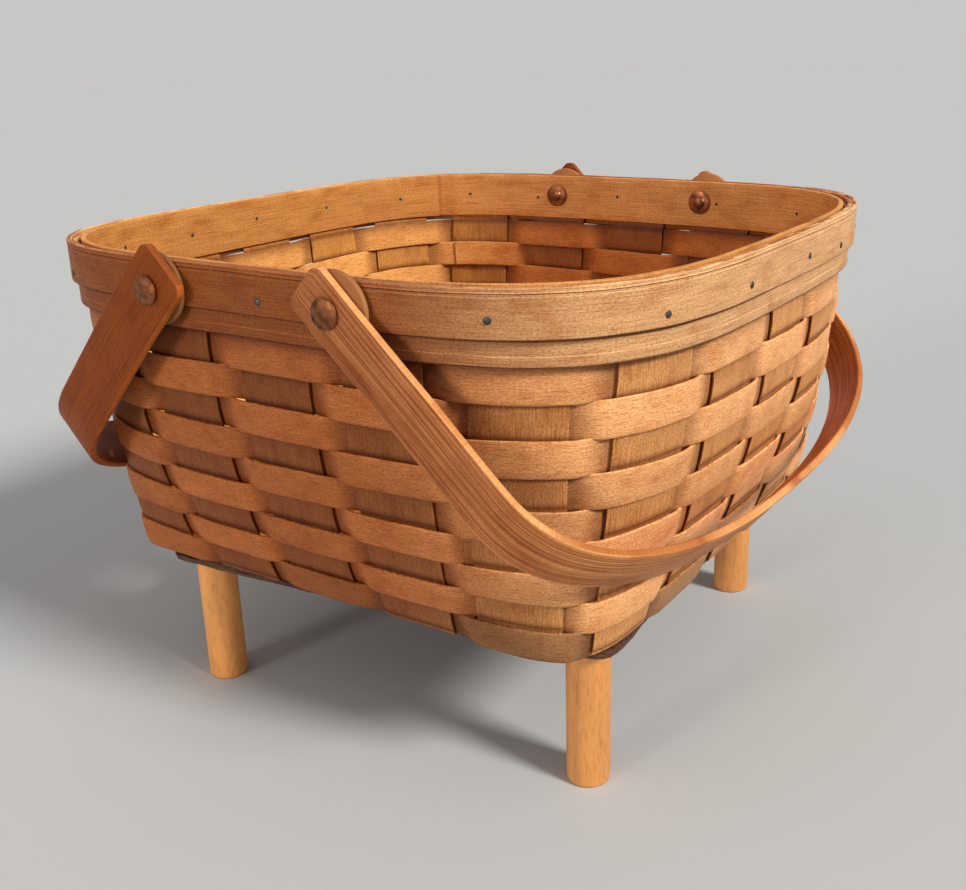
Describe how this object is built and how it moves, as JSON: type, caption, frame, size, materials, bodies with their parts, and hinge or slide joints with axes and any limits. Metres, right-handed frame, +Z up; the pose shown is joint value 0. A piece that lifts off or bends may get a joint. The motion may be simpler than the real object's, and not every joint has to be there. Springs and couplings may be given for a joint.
{
  "type": "pie basket",
  "caption": "Square woven wood-splint basket with a banded rim, two folding bentwood handles and a footed base board, for carrying a pie or a flat dish.",
  "frame": {"origin": "on the floor under the middle of the rim", "axes": "+Z up, the sides of the rim along X and Y, the handles' pivots parallel to Y"},
  "size_m": [0.3335, 0.3379, 0.2309],
  "materials": {
    "upright_splint": "satin",
    "weaver_splint": "satin",
    "rim_band": "satin",
    "left_handle": "satin",
    "right_handle": "satin",
    "leg_dowel": "satin",
    "board": "matte",
    "spacer": "satin",
    "rivet_metal": "antique bronze",
    "screw": "plain"
  },
  "bodies": {
    "basket": {"base_board": "board", "leg_front_left": "leg_dowel", "leg_front_right": "leg_dowel", "leg_back_right": "leg_dowel", "leg_back_left": "leg_dowel", "leg_screw_front_left": "screw", "leg_screw_front_right": "screw", "leg_screw_back_right": "screw", "leg_screw_back_left": "screw", "front_to_back_strip_1": "upright_splint", "front_to_back_strip_2": "upright_splint", "front_to_back_strip_3": "upright_splint", "front_to_back_strip_4": "upright_splint", "front_to_back_strip_5": "upright_splint", "side_to_side_strip_1": "upright_splint", "side_to_side_strip_2": "upright_splint", "side_to_side_strip_3": "upright_splint", "side_to_side_strip_4": "upright_splint", "side_to_side_strip_5": "upright_splint", "weaver_1": "weaver_splint", "weaver_2": "weaver_splint", "weaver_3": "weaver_splint", "weaver_4": "weaver_splint", "weaver_5": "weaver_splint", "weaver_6": "weaver_splint", "weaver_7": "weaver_splint", "weaver_8": "weaver_splint", "weaver_9": "weaver_splint", "inner_rim_band": "rim_band", "lower_rim_band": "rim_band", "outer_rim_band": "rim_band", "spacer_left_front": "spacer", "spacer_left_back": "spacer", "spacer_right_front": "spacer", "spacer_right_back": "spacer", "washer_left_front": "rivet_metal", "washer_left_back": "rivet_metal", "washer_right_front": "rivet_metal", "washer_right_back": "rivet_metal", "rivet_left_front": "rivet_metal", "rivet_left_back": "rivet_metal", "rivet_right_front": "rivet_metal", "rivet_right_back": "rivet_metal"},
    "left_handle": {"left_handle": "left_handle"},
    "right_handle": {"right_handle": "right_handle"}
  },
  "joints": [
    {"name": "left_handle_swing", "type": "hinge", "parent": "basket", "child": "left_handle", "pos_m": [-0.047, 0, 0.2129], "axis": [0, 1, 0], "range_deg": [0, 145]},
    {"name": "right_handle_swing", "type": "hinge", "parent": "basket", "child": "right_handle", "pos_m": [0.047, 0, 0.2129], "axis": [0, -1, 0], "range_deg": [0, 145]}
  ]
}
